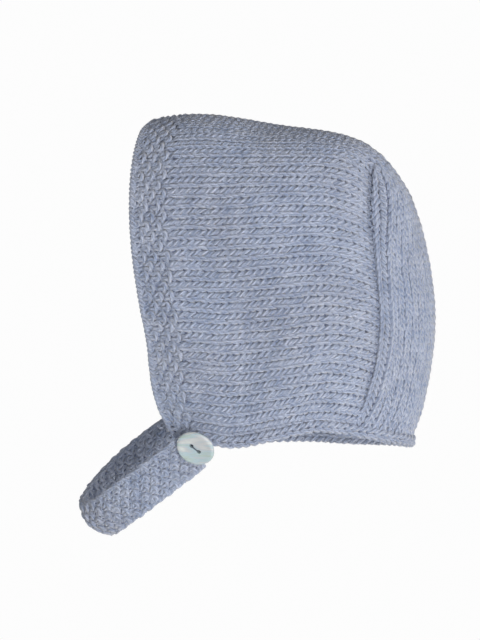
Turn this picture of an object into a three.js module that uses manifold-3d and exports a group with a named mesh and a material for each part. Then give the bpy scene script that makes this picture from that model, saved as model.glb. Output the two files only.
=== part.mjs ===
// A hand-knitted baby bonnet with a buttoned chin strap, in millimetres, +Z up.
// The face opening looks along -X and the button is on the -Y side, called the near side.
// The origin is where the crown of the head touches the inside of the bonnet.
import * as THREE from "three";
import { mergeVertices } from "three/addons/utils/BufferGeometryUtils.js";
import Module from "manifold-3d";

const wasm = await Module();
wasm.setup();

// Knitted wall and gauge.
const WALL = 4;
const GAP = 0.3;
const COURSES = 36; // courses from the face edge to the back seam
const BAND_COURSES = 6; // the first of them are the moss stitch band
const HALF_WALES = 38.5; // wales from the middle of the crown to the neck edge
const BACK_HALF_WALES = 10.5; // wales from the middle of the back panel to its seam
const BAND_END = BAND_COURSES / COURSES;
const CORNER = BACK_HALF_WALES / HALF_WALES;

// Neck band, chin strap and button.
const NECK_BAND = { height: 5.2, thickness: 4.8 };
const STRAP = { width: 19.5, thickness: 4.4, endTaper: 0.75 };
const BUTTON = {
  radius: 8.6,
  thickness: 1.9,
  dish: 0.5,
  dishRadius: 5.2,
  edge: 0.7,
  holeRadius: 0.95,
  holeSpacing: 4.2,
};
const THREAD_RADIUS = 0.42;

// Cross-sections of the hood from the face edge (at 0) to the back seam (at 1). Each is an arch
// whose upper half is a superellipse: top is its height in the middle, half its half width, drop
// the depth of its shoulder and square the power. Below that the side runs in to hemY at the
// neck edge, whose height on the two sides is near and far.
const SECTIONS = [
  { at: 0.0, top: 4.4, half: 45.5, drop: 42, square: 2.5, hemY: 33.0, near: -131.5, far: -132.0 },
  { at: 0.2, top: 6.5, half: 49.5, drop: 43, square: 2.5, hemY: 38.5, near: -134.3, far: -135.0 },
  { at: 0.36, top: 5.1, half: 52.0, drop: 42, square: 2.6, hemY: 41.5, near: -136.4, far: -136.4 },
  { at: 0.6, top: 1.2, half: 53.0, drop: 39, square: 2.8, hemY: 43.0, near: -132.8, far: -135.4 },
  { at: 0.8, top: -2.0, half: 50.5, drop: 34, square: 3.4, hemY: 40.0, near: -129.3, far: -135.2 },
  { at: 0.92, top: -6.0, half: 46.0, drop: 29, square: 4.4, hemY: 35.0, near: -130.0, far: -135.6 },
  { at: 1.0, top: -11.7, half: 41.5, drop: 25, square: 5.6, hemY: 30.0, near: -131.0, far: -136.0 },
];

// The face edge and the back seam seen from the side: depth is 0 at the top and 1 at the neck edge.
const EDGES = [
  { depth: 0.0, face: -59.5, seam: 41.8 },
  { depth: 0.04, face: -64.6, seam: 39.3 },
  { depth: 0.15, face: -68.2, seam: 38.0 },
  { depth: 0.3, face: -69.2, seam: 37.9 },
  { depth: 0.45, face: -67.9, seam: 39.9 },
  { depth: 0.6, face: -64.9, seam: 41.2 },
  { depth: 0.72, face: -61.7, seam: 40.2 },
  { depth: 0.86, face: -59.5, seam: 36.4 },
  { depth: 0.94, face: -56.6, seam: 33.4 },
  { depth: 1.0, face: -52.6, seam: 28.6 },
];

// The middle line down the back, from the crown (at 0) to the neck edge (at 1).
const BACK_LINE = [
  { at: 0.0, x: 41.8, z: -11.7 },
  { at: 0.09, x: 50.0, z: -21.1 },
  { at: 0.19, x: 56.6, z: -32.6 },
  { at: 0.4, x: 63.8, z: -60.0 },
  { at: 0.62, x: 66.0, z: -89.0 },
  { at: 0.87, x: 61.2, z: -121.5 },
  { at: 1.0, x: 56.0, z: -136.6 },
];
const BACK_ROUNDNESS = 1.38; // half the angle of the back panel's arc, in radians
const BACK_BLEND = 0.42; // how far down the back the square top of the crown is felt

// Soft dents and swellings of the side panel: place, reach and height. A height below 0 is a dent.
const DENTS = [
  { at: 0.45, across: -0.8, reachAt: 0.13, reachAcross: 0.13, height: -2.6 },
  { at: 0.72, across: -0.82, reachAt: 0.16, reachAcross: 0.16, height: 1.6 },
  { at: 0.3, across: -0.52, reachAt: 0.12, reachAcross: 0.16, height: -1.2 },
  { at: 0.5, across: -0.16, reachAt: 0.14, reachAcross: 0.1, height: -1.4 },
  { at: 0.55, across: 0.74, reachAt: 0.2, reachAcross: 0.15, height: -1.8 },
];
const SEAM_TUCK = { depth: 1.5, corner: 1.8, reach: 0.045, cornerReach: 0.16 };
const SEAM_RIDGE = { height: 1.5, centre: 0.9, reach: 0.08 };
const NECK_FADE = 0.14; // where both die away above the neck edge

// The chin strap's middle line, from its end sewn inside the far corner, forward and down round
// the chin, and back to its end under the button. turn is the tilt of its flat side, in degrees, and
// cup how far the middle of its width stands out from its edges.
const STRAP_ROUTE = [
  { x: -40.5, y: 30.8, z: -128.6, turn: 16, cup: 0 },
  { x: -48.2, y: 27.6, z: -135.2, turn: 14, cup: 0 },
  { x: -55.0, y: 26.6, z: -140.2, turn: 8, cup: 0 },
  { x: -62.0, y: 26.8, z: -145.8, turn: 2, cup: 0.3 },
  { x: -70.2, y: 27.0, z: -152.8, turn: 0, cup: 0.8 },
  { x: -78.6, y: 23.8, z: -161.2, turn: 0, cup: 1.6 },
  { x: -84.4, y: 13.6, z: -168.9, turn: 0, cup: 3.0 },
  { x: -86.6, y: 0.0, z: -174.0, turn: 0, cup: 3.8 },
  { x: -82.0, y: -13.8, z: -173.4, turn: 0, cup: 3.2 },
  { x: -72.4, y: -24.0, z: -166.4, turn: 0, cup: 1.6 },
  { x: -62.0, y: -30.2, z: -158.6, turn: 2, cup: 0.6 },
  { x: -51.8, y: -35.8, z: -150.8, turn: 8, cup: 0.2 },
  { x: -39.0, y: -42.8, z: -141.2, turn: 14, cup: 0 },
];
const STRAP_SLANT = 0.34; // how far the near end's edge leans, per mm of width
const STRAP_STEPS = 44;
const BUTTON_AT = { x: -39.6, z: -140.7, lean: 38, towards: 242, standOff: 3.1, shank: 1.7 };

const lerp = (a, b, t) => a + (b - a) * t;
const clamp = (v, low, high) => Math.min(high, Math.max(low, v));
const smooth = (t) => {
  const k = clamp(t, 0, 1);
  return k * k * (3 - 2 * k);
};

// A named column of a table at any place along it, as a smooth curve through its rows.
function column(rows, key, place, index = "at") {
  const last = rows.length - 1;
  const t = clamp(place, rows[0][index], rows[last][index]);
  let i = 0;
  while (i < last - 1 && t > rows[i + 1][index]) i++;
  const slope = (j) => {
    const a = rows[Math.max(j - 1, 0)];
    const b = rows[Math.min(j + 1, last)];
    return (b[key] - a[key]) / (b[index] - a[index]);
  };
  const span = rows[i + 1][index] - rows[i][index];
  const k = (t - rows[i][index]) / span;
  const k2 = k * k;
  const k3 = k2 * k;
  return (
    (2 * k3 - 3 * k2 + 1) * rows[i][key] +
    (k3 - 2 * k2 + k) * span * slope(i) +
    (3 * k2 - 2 * k3) * rows[i + 1][key] +
    (k3 - k2) * span * slope(i + 1)
  );
}

// Half of one cross-section as points (y, z) from the middle of the crown to the neck edge.
const ARCH_STEPS = 40;
const arches = new Map();
function arch(at, far) {
  const name = at.toFixed(6) + far;
  if (arches.has(name)) return arches.get(name);
  const [top, half, drop, square, hemY] = ["top", "half", "drop", "square", "hemY"].map((key) =>
    column(SECTIONS, key, at),
  );
  const hem = column(SECTIONS, far ? "far" : "near", at);
  const knee = 2 ** (-1 / square); // where the superellipse slopes by 45 degrees
  const curve = (v) => (1 - v ** square) ** (1 / square);
  const points = [];
  for (let i = 0; i <= ARCH_STEPS; i++) {
    const v = (knee * i) / ARCH_STEPS;
    points.push({ y: half * v, z: top - drop * (1 - curve(v)) });
  }
  for (let i = 1; i <= ARCH_STEPS; i++) {
    const v = knee * (1 - i / ARCH_STEPS);
    points.push({ y: half * curve(v), z: top - drop * (1 - v) });
  }
  for (let i = 1; i <= ARCH_STEPS; i++) {
    const v = i / ARCH_STEPS;
    points.push({ y: half - (half - hemY) * v ** 2.4, z: lerp(top - drop, hem, v) });
  }
  let length = 0;
  points.forEach((p, i) => {
    if (i) length += Math.hypot(p.y - points[i - 1].y, p.z - points[i - 1].z);
    p.length = length;
  });
  const made = { points, length, top, hem };
  arches.set(name, made);
  return made;
}

// A point of the hood's middle surface before its dents. across is -1 at the near neck edge, 0 in
// the middle of the crown and 1 at the far neck edge.
function hoodPoint(at, across) {
  const { points, length, top, hem } = arch(at, across > 0);
  const wanted = Math.abs(across) * length;
  let i = 0;
  while (i < points.length - 2 && points[i + 1].length < wanted) i++;
  const a = points[i];
  const b = points[i + 1];
  const t = (wanted - a.length) / (b.length - a.length);
  const z = lerp(a.z, b.z, t);
  const depth = (top - z) / (top - hem);
  const x = lerp(column(EDGES, "face", depth, "depth"), column(EDGES, "seam", depth, "depth"), at);
  return new THREE.Vector3(x, Math.sign(across) * lerp(a.y, b.y, t), z);
}

// A point of the back panel's middle surface. down is 0 at the crown and 1 at the neck edge,
// across is -1 at the near seam and 1 at the far one.
function backPoint(down, across) {
  const side = across > 0 ? 1 : -1;
  const away = Math.abs(across);
  const seam = hoodPoint(1, side * lerp(CORNER, 1, down));
  const middle = { x: column(BACK_LINE, "x", down), z: column(BACK_LINE, "z", down) };
  const corner = hoodPoint(1, side * CORNER);
  const onCrown = hoodPoint(1, side * CORNER * away);
  const width = Math.sin(BACK_ROUNDNESS * away) / Math.sin(BACK_ROUNDNESS);
  const flat = Math.cos(BACK_ROUNDNESS);
  const rise = (Math.cos(BACK_ROUNDNESS * away) - flat) / (1 - flat);
  const widthTop = onCrown.y / corner.y;
  const riseTop = (onCrown.z - corner.z) / (BACK_LINE[0].z - corner.z);
  const blend = smooth(down / BACK_BLEND);
  const k = lerp(widthTop, width, blend);
  const g = lerp(riseTop, rise, blend);
  return new THREE.Vector3(lerp(seam.x, middle.x, g), seam.y * k, lerp(seam.z, middle.z, g));
}

// The way out of the bonnet at a point: away from a box-shaped core inside the head.
const CORE = { x: [-90, 18], y: [-14, 14], z: [-200, -40] };
function outward(p) {
  const nearest = new THREE.Vector3(
    clamp(p.x, ...CORE.x),
    clamp(p.y, ...CORE.y),
    clamp(p.z, ...CORE.z),
  );
  return p.clone().sub(nearest).normalize();
}

const bell = (v, reach) => Math.exp(-((v / reach) ** 2));

function hood(at, across) {
  const p = hoodPoint(at, across);
  let height = 0;
  for (const d of DENTS) {
    height += d.height * bell(at - d.at, d.reachAt) * bell(across - d.across, d.reachAcross);
  }
  const fades = smooth((Math.abs(across) - CORNER * 0.9) / (CORNER * 0.1));
  const below = fades * smooth((1 - Math.abs(across)) / NECK_FADE);
  const nearCorner = bell(Math.abs(across) - CORNER, SEAM_TUCK.cornerReach);
  height -= (SEAM_TUCK.depth + SEAM_TUCK.corner * nearCorner) * below * bell(1 - at, SEAM_TUCK.reach);
  return p.addScaledVector(outward(p), height);
}

function back(down, across) {
  const p = backPoint(down, across);
  const ridge = bell(Math.abs(across) - SEAM_RIDGE.centre, SEAM_RIDGE.reach);
  const fades = smooth(down / 0.12) * smooth((1 - down) / NECK_FADE);
  return p.addScaledVector(outward(p), SEAM_RIDGE.height * ridge * fades);
}

// A mesh from rings of points, each ring closed and with as many points, and its two ends capped.
function ringsGeometry(rings) {
  const count = rings[0].length;
  const positions = rings.flat().flatMap((p) => p.toArray());
  const index = [];
  for (let i = 0; i + 1 < rings.length; i++) {
    for (let j = 0; j < count; j++) {
      const a = i * count + j;
      const b = i * count + ((j + 1) % count);
      index.push(a, b, b + count, a, b + count, a + count);
    }
  }
  const half = count / 2;
  const cap = (start, turned) => {
    for (let j = 0; j < half - 1; j++) {
      const quad = [start + j, start + j + 1, start + count - 2 - j, start + count - 1 - j];
      const [a, b, c, d] = turned ? quad.reverse() : quad;
      index.push(a, c, b, a, d, c);
    }
  };
  cap(0, false);
  cap((rings.length - 1) * count, true);
  const geometry = new THREE.BufferGeometry();
  geometry.setAttribute("position", new THREE.Float32BufferAttribute(positions, 3));
  geometry.setIndex(index);
  geometry.computeVertexNormals();
  return geometry;
}

// A wall round a middle surface: one ring for each place in columns, out along rows and back
// inside. thickness is a share of WALL at each row, so that free edges can be rounded.
function wallGeometry(surface, columns, rows) {
  const rings = columns.map((c) => {
    const middle = rows.map((row) => surface(row.at, c));
    const shifted = (sign) =>
      middle.map((p, i) => p.clone().addScaledVector(outward(p), (sign * WALL * rows[i].share) / 2));
    return [...shifted(1), ...shifted(-1).reverse()];
  });
  return ringsGeometry(rings);
}

// count + 1 places from start to end, closer together towards the end as crowd grows past 1.
function places(start, end, count, crowd = 1) {
  return Array.from({ length: count + 1 }, (_, i) => {
    const t = i / count;
    return lerp(start, end, 1 - (1 - t) ** crowd);
  });
}

const full = (ats) => ats.map((at) => ({ at, share: 1 }));

// The places across the hood, from one neck edge over the crown to the other. Small steps of the
// wall are spent where it bends most: at the shoulders and the panel corners.
const ACROSS = [
  ...places(-1, -0.45, 10),
  ...places(-0.45, -CORNER, 4).slice(1),
  ...places(-CORNER, CORNER, 10).slice(1),
  ...places(CORNER, 0.45, 4).slice(1),
  ...places(0.45, 1, 10).slice(1),
];
const HOOD_LENGTH = 100; // about, from face edge to seam: turns a gap in mm into a share
const HALF_GAP = GAP / 2 / HOOD_LENGTH;

const frontRows = [
  { at: 0, share: 0.55 },
  { at: 0.012, share: 0.95 },
  ...full([0.06, 0.11, BAND_END - HALF_GAP]),
];
const frontBand = wallGeometry(hood, ACROSS, frontRows);

const SEAM_GAP = 0.004;
const crownRows = full([...places(BAND_END + HALF_GAP, 1 - SEAM_GAP, 12, 1.5)]);
const crownPanel = wallGeometry(hood, ACROSS, crownRows);

const BACK_LENGTH = 137;
const backDowns = places(1, GAP / BACK_LENGTH + SEAM_GAP, 16);
const backAcross = [-1, -0.95, -0.87, ...places(-0.76, 0.76, 10), 0.87, 0.95, 1].map(
  (a) => a * (1 - 0.006),
);
const backPanel = wallGeometry((across, down) => back(down, across), backDowns, full(backAcross));

// The neck band runs under the whole neck edge, from the near face corner round the back.
function neckBand() {
  const line = [
    ...places(0, 1, 16).map((at) => hood(at, -1)),
    ...places(-0.94, 0.94, 12).map((across) => back(1, across)),
    ...places(1, 0, 16).map((at) => hood(at, 1)),
  ];
  const rings = line.map((p, i) => {
    const out = outward(p);
    const ends = i === 0 || i === line.length - 1 ? 0.7 : 1;
    const wide = (NECK_BAND.thickness / 2) * ends;
    const tall = NECK_BAND.height;
    const section = [
      [-0.75, 0],
      [-1, 0.25],
      [-1, 0.75],
      [-0.6, 1],
      [0.6, 1],
      [1, 0.75],
      [1, 0.25],
      [0.75, 0],
    ];
    return section.map(([side, down]) => {
      const q = p.clone().addScaledVector(out, side * wide);
      q.z -= GAP + down * tall;
      return q;
    });
  });
  return ringsGeometry(rings.reverse());
}

// The strap's flat side looks away from the middle of the loop; its width lies across the loop.
function strapFrames() {
  const curve = new THREE.CatmullRomCurve3(
    STRAP_ROUTE.map((p) => new THREE.Vector3(p.x, p.y, p.z)),
    false,
    "centripetal",
  );
  const across = new THREE.Vector3(0.68, 0, -0.735).normalize();
  const rows = STRAP_ROUTE.map((p, i) => ({ at: i, turn: p.turn, cup: p.cup }));
  return places(0, 1, STRAP_STEPS).map((u) => {
    const t = curve.getUtoTmapping(u, 0);
    const tangent = curve.getTangent(t);
    const width = across.clone().addScaledVector(tangent, -across.dot(tangent)).normalize();
    const face = width.clone().cross(tangent).normalize();
    const place = t * (rows.length - 1);
    const angle = THREE.MathUtils.degToRad(column(rows, "turn", place));
    width.applyAxisAngle(tangent, angle);
    face.applyAxisAngle(tangent, angle);
    return { point: curve.getPoint(t), tangent, width, face, cup: column(rows, "cup", place) };
  });
}

function chinStrap() {
  const frames = strapFrames();
  const rings = frames.map(({ point, tangent, width, face, cup }, i) => {
    const toEnd = frames.length - 1 - i;
    const round = i === 0 ? 0.9 : toEnd === 0 ? STRAP.endTaper : 1;
    const slant = STRAP_SLANT * clamp(1 - toEnd / 3, 0, 1);
    const upper = [-0.86, -0.45, 0, 0.45, 0.86].map((w) => [w, 1]);
    const lower = upper.map(([w]) => [-w, -1]);
    const section = [[-1, 0.45], ...upper, [1, 0.45], [1, -0.45], ...lower, [-1, -0.45]];
    return section.map(([w, f]) =>
      point
        .clone()
        .addScaledVector(width, (w * round * STRAP.width) / 2)
        .addScaledVector(tangent, (-w * slant * STRAP.width) / 2)
        .addScaledVector(face, (f * STRAP.thickness) / 2 + cup * (0.5 - w * w)),
    );
  });
  return ringsGeometry(rings);
}

// Solids for cutting, with shared vertices merged.
function solidOf(geometry) {
  const g = geometry.clone();
  g.deleteAttribute("normal");
  g.deleteAttribute("uv");
  const merged = mergeVertices(g, 1e-4);
  return new wasm.Manifold(
    new wasm.Mesh({
      numProp: 3,
      vertProperties: new Float32Array(merged.attributes.position.array),
      triVerts: new Uint32Array(merged.index.array),
    }),
  );
}

function geometryOf(solid) {
  const mesh = solid.getMesh();
  const geometry = new THREE.BufferGeometry();
  geometry.setAttribute("position", new THREE.BufferAttribute(new Float32Array(mesh.vertProperties), 3));
  geometry.setIndex(new THREE.BufferAttribute(new Uint32Array(mesh.triVerts), 1));
  geometry.computeVertexNormals();
  return geometry;
}

// A round shell button, dished in the middle, its axis along +Z and its back at z = 0.
function buttonGeometry() {
  const { radius, thickness, dish, dishRadius, edge, holeRadius, holeSpacing } = BUTTON;
  const profile = [
    [0, 0],
    [radius - edge, 0],
    [radius, edge],
    [radius, thickness - edge * 1.2],
    [radius - edge, thickness - 0.15],
    [radius - edge * 2.4, thickness],
    [dishRadius, thickness - dish * 0.4],
    [dishRadius * 0.7, thickness - dish],
    [0, thickness - dish],
  ].map(([r, z]) => new THREE.Vector2(r, z));
  const disc = new THREE.LatheGeometry(profile, 40);
  disc.rotateX(Math.PI / 2);
  let solid = solidOf(disc);
  for (const side of [-1, 1]) {
    const hole = new THREE.CylinderGeometry(holeRadius, holeRadius, thickness * 3, 16);
    hole.rotateX(Math.PI / 2);
    hole.translate((side * holeSpacing) / 2, 0, 0);
    solid = solid.subtract(solidOf(hole));
  }
  return geometryOf(solid);
}

// The thread that holds the button: a bar on its face and two legs down its holes.
function threadGeometry() {
  const { thickness, dish, holeSpacing } = BUTTON;
  const low = -BUTTON_AT.shank;
  const high = thickness - dish + THREAD_RADIUS + 0.15;
  const half = holeSpacing / 2;
  const path = new THREE.CurvePath();
  const v = (x, z) => new THREE.Vector3(x, 0, z);
  path.add(new THREE.LineCurve3(v(-half, low), v(-half, high - 0.7)));
  path.add(new THREE.QuadraticBezierCurve3(v(-half, high - 0.7), v(-half, high), v(0.7 - half, high)));
  path.add(new THREE.LineCurve3(v(0.7 - half, high), v(half - 0.7, high)));
  path.add(new THREE.QuadraticBezierCurve3(v(half - 0.7, high), v(half, high), v(half, high - 0.7)));
  path.add(new THREE.LineCurve3(v(half, high - 0.7), v(half, low)));
  const section = new THREE.Shape().absarc(0, 0, THREAD_RADIUS, 0, Math.PI * 2);
  return new THREE.ExtrudeGeometry(section, {
    steps: 24,
    curveSegments: 4,
    extrudePath: path,
    bevelEnabled: false,
  });
}

// The button leans down with the strap's end, its holes across the strap.
function buttonPlacement() {
  const end = strapFrames().at(-1);
  const towards = THREE.MathUtils.degToRad(BUTTON_AT.towards);
  const lean = THREE.MathUtils.degToRad(BUTTON_AT.lean);
  const normal = new THREE.Vector3(
    Math.cos(towards) * Math.sin(lean),
    -Math.cos(lean),
    Math.sin(towards) * Math.sin(lean),
  );
  const onFace = end.point.clone().addScaledVector(end.face, STRAP.thickness / 2);
  const base = new THREE.Vector3(BUTTON_AT.x, onFace.y - BUTTON_AT.standOff, BUTTON_AT.z);
  const holes = new THREE.Vector3(1, 0, -1);
  holes.addScaledVector(normal, -holes.dot(normal)).normalize();
  const third = normal.clone().cross(holes);
  return new THREE.Matrix4().makeBasis(holes, third, normal).setPosition(base);
}

const wool = (tint) =>
  new THREE.MeshStandardMaterial({ color: tint, roughness: 0.95, metalness: 0 });
const WOOL_BLUE = 0x9aa5c4;
const WOOL_BAND = 0x929cbb;
const shell = new THREE.MeshStandardMaterial({ color: 0xd5dcd8, roughness: 0.25, metalness: 0 });
const thread = new THREE.MeshStandardMaterial({ color: 0x8f96a6, roughness: 0.8, metalness: 0 });

const bonnet = new THREE.Group();
function addPiece(name, geometry, material, placement) {
  const mesh = new THREE.Mesh(geometry, material);
  mesh.name = name;
  if (placement) {
    placement.decompose(mesh.position, mesh.quaternion, mesh.scale);
  }
  bonnet.add(mesh);
}

const placement = buttonPlacement();
addPiece("front_band", frontBand, wool(WOOL_BAND));
addPiece("crown_panel", crownPanel, wool(WOOL_BLUE));
addPiece("back_panel", backPanel, wool(WOOL_BLUE));
addPiece("neck_band", neckBand(), wool(WOOL_BLUE));
addPiece("chin_strap", chinStrap(), wool(WOOL_BAND));
addPiece("button", buttonGeometry(), shell, placement);
addPiece("button_thread", threadGeometry(), thread, placement);

export default bonnet;
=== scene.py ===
"""A hand-knitted baby bonnet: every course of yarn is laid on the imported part's form, loop by loop."""

import math

import bmesh
import bpy
import numpy as np
from mathutils import Matrix, Vector


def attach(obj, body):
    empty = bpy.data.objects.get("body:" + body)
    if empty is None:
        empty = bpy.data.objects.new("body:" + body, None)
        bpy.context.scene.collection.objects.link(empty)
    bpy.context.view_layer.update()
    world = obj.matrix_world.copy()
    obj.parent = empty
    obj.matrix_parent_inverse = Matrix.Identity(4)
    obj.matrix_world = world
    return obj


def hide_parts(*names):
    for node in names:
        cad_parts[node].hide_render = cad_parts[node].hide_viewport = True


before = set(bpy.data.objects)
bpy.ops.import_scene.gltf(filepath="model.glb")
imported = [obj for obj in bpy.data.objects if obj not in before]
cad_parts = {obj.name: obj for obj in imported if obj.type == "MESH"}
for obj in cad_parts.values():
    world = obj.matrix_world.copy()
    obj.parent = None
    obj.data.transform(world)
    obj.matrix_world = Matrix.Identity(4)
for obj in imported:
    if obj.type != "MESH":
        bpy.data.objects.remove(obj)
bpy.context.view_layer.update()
MM = 0.001

# Form, in millimetres

BAND_COURSES = 6
COURSES = 36
WALES = 77
BACK_WALES = 21
BACK_COURSES = 39
BAND_END = BAND_COURSES / COURSES
CORNER = BACK_WALES / WALES

SECTION_KEYS = ("at", "top", "half", "drop", "square", "hemY", "near", "far")
SECTIONS = [
    (0.0, 4.4, 45.5, 42, 2.5, 33.0, -131.5, -132.0),
    (0.2, 6.5, 49.5, 43, 2.5, 38.5, -134.3, -135.0),
    (0.36, 5.1, 52.0, 42, 2.6, 41.5, -136.4, -136.4),
    (0.6, 1.2, 53.0, 39, 2.8, 43.0, -132.8, -135.4),
    (0.8, -2.0, 50.5, 34, 3.4, 40.0, -129.3, -135.2),
    (0.92, -6.0, 46.0, 29, 4.4, 35.0, -130.0, -135.6),
    (1.0, -11.7, 41.5, 25, 5.6, 30.0, -131.0, -136.0),
]
EDGE_KEYS = ("at", "face", "seam")
EDGES = [
    (0.0, -59.5, 41.8),
    (0.04, -64.6, 39.3),
    (0.15, -68.2, 38.0),
    (0.3, -69.2, 37.9),
    (0.45, -67.9, 39.9),
    (0.6, -64.9, 41.2),
    (0.72, -61.7, 40.2),
    (0.86, -59.5, 36.4),
    (0.94, -56.6, 33.4),
    (1.0, -52.6, 28.6),
]
BACK_LINE_KEYS = ("at", "x", "z")
BACK_LINE = [
    (0.0, 41.8, -11.7),
    (0.09, 50.0, -21.1),
    (0.19, 56.6, -32.6),
    (0.4, 63.8, -60.0),
    (0.62, 66.0, -89.0),
    (0.87, 61.2, -121.5),
    (1.0, 56.0, -136.6),
]
BACK_ROUNDNESS = 1.38
BACK_BLEND = 0.42
ARCH_STEPS, HEM_CURVE = 40, 2.4
# place along the hood, place across it, reach both ways, height
DENTS = [
    (0.45, -0.8, 0.13, 0.13, -2.6),
    (0.72, -0.82, 0.16, 0.16, 1.6),
    (0.3, -0.52, 0.12, 0.16, -1.2),
    (0.5, -0.16, 0.14, 0.1, -1.4),
    (0.55, 0.74, 0.2, 0.15, -1.8),
]
TUCK_DEPTH, TUCK_CORNER, TUCK_REACH, TUCK_CORNER_REACH, TUCK_FADE = 1.5, 1.8, 0.045, 0.16, 0.1
RIDGE_HEIGHT, RIDGE_CENTRE, RIDGE_REACH, RIDGE_FADE = 1.5, 0.9, 0.08, 0.12
NECK_FADE = 0.14
# the box inside the head from which outward directions start
CORE = np.array([(-90, 18), (-14, 14), (-200, -40)], float)

# x, y, z, turn in degrees, depth of the cup
STRAP_ROUTE = np.array([
    (-40.5, 30.8, -128.6, 16, 0),
    (-48.2, 27.6, -135.2, 14, 0),
    (-55.0, 26.6, -140.2, 8, 0),
    (-62.0, 26.8, -145.8, 2, 0.3),
    (-70.2, 27.0, -152.8, 0, 0.8),
    (-78.6, 23.8, -161.2, 0, 1.6),
    (-84.4, 13.6, -168.9, 0, 3.0),
    (-86.6, 0.0, -174.0, 0, 3.8),
    (-82.0, -13.8, -173.4, 0, 3.2),
    (-72.4, -24.0, -166.4, 0, 1.6),
    (-62.0, -30.2, -158.6, 2, 0.6),
    (-51.8, -35.8, -150.8, 8, 0.2),
    (-39.0, -42.8, -141.2, 14, 0),
])
STRAP_WIDTH, STRAP_SLANT = 19.5, 0.34


def lerp(a, b, t):
    return a + (b - a) * t


def smooth(t):
    k = np.clip(t, 0, 1)
    return k * k * (3 - 2 * k)


def bell(v, reach):
    return np.exp(-((v / reach) ** 2))


def unit(v):
    return v / np.maximum(np.linalg.norm(v, axis=-1, keepdims=True), 1e-9)


def path_length(points):
    """The length along a row of points, up to each of them."""
    return np.concatenate([[0], np.cumsum(np.linalg.norm(np.diff(points, axis=0), axis=1))])


def spread(points, count):
    """The same row of points with count points at even steps, and its length."""
    length = path_length(points)
    s = np.linspace(0, length[-1], count)
    return np.stack([np.interp(s, length, values) for values in points.T], -1), length[-1]


def hermite(at, values, place):
    """A smooth curve through values at the places in at, sampled at place."""
    at, values = np.asarray(at, float), np.asarray(values, float)
    last = len(at) - 1
    after = np.minimum(np.arange(last + 1) + 1, last)
    before = np.maximum(np.arange(last + 1) - 1, 0)
    slope = (values[after] - values[before]) / (at[after] - at[before])
    t = np.clip(place, at[0], at[-1])
    i = np.clip(np.searchsorted(at, t, side="left") - 1, 0, last - 1)
    span = at[i + 1] - at[i]
    k = (t - at[i]) / span
    k2, k3 = k * k, k * k * k
    return (
        (2 * k3 - 3 * k2 + 1) * values[i]
        + (k3 - 2 * k2 + k) * span * slope[i]
        + (3 * k2 - 2 * k3) * values[i + 1]
        + (k3 - k2) * span * slope[i + 1]
    )


def column(rows, keys, key, place):
    n = keys.index(key)
    return hermite([r[0] for r in rows], [r[n] for r in rows], place)


def arch(at, far):
    """Half a cross-section of the hood: y, z and the length along it."""
    keys = ("top", "half", "drop", "square", "hemY", "far" if far else "near")
    top, half, drop, square, hem_y, hem = (float(column(SECTIONS, SECTION_KEYS, k, at)) for k in keys)
    knee = 2 ** (-1 / square)
    steps = np.arange(ARCH_STEPS + 1) / ARCH_STEPS
    up = knee * steps
    side = knee * (1 - steps[1:])
    down = steps[1:]

    def curve(v):
        return (1 - v**square) ** (1 / square)

    y = np.concatenate([half * up, half * curve(side), half - (half - hem_y) * down**HEM_CURVE])
    z = np.concatenate([top - drop * (1 - curve(up)), top - drop * (1 - side), lerp(top - drop, hem, down)])
    return y, z, path_length(np.stack([y, z], -1)), top, hem


def hood_line(at, across):
    """Points of the hood's middle surface before its dents, at one place along it."""
    across = np.asarray(across, float)
    out = np.empty(across.shape + (3,))
    for far in (False, True):
        here = across > 0 if far else across <= 0
        y, z, length, top, hem = arch(at, far)
        wanted = np.abs(across[here]) * length[-1]
        zz = np.interp(wanted, length, z)
        depth = (top - zz) / (top - hem)
        face = column(EDGES, EDGE_KEYS, "face", depth)
        seam = column(EDGES, EDGE_KEYS, "seam", depth)
        yy = np.sign(across[here]) * np.interp(wanted, length, y)
        out[here] = np.stack([lerp(face, seam, at), yy, zz], -1)
    return out


def outward(p):
    return unit(p - np.clip(p, CORE[:, 0], CORE[:, 1]))


def hood(ats, across):
    """A grid of points of the hood: one row for each of ats."""
    p = np.stack([hood_line(float(np.clip(a, 0, 1)), across) for a in ats])
    at, ac = np.meshgrid(ats, across, indexing="ij")
    height = np.zeros(at.shape)
    for place, aside, reach, reach_across, high in DENTS:
        height += high * bell(at - place, reach) * bell(ac - aside, reach_across)
    below = smooth((np.abs(ac) - CORNER * (1 - TUCK_FADE)) / (CORNER * TUCK_FADE))
    fades = below * smooth((1 - np.abs(ac)) / NECK_FADE)
    corner = bell(np.abs(ac) - CORNER, TUCK_CORNER_REACH)
    height -= (TUCK_DEPTH + TUCK_CORNER * corner) * fades * bell(1 - at, TUCK_REACH)
    return p + outward(p) * height[..., None]


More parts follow.
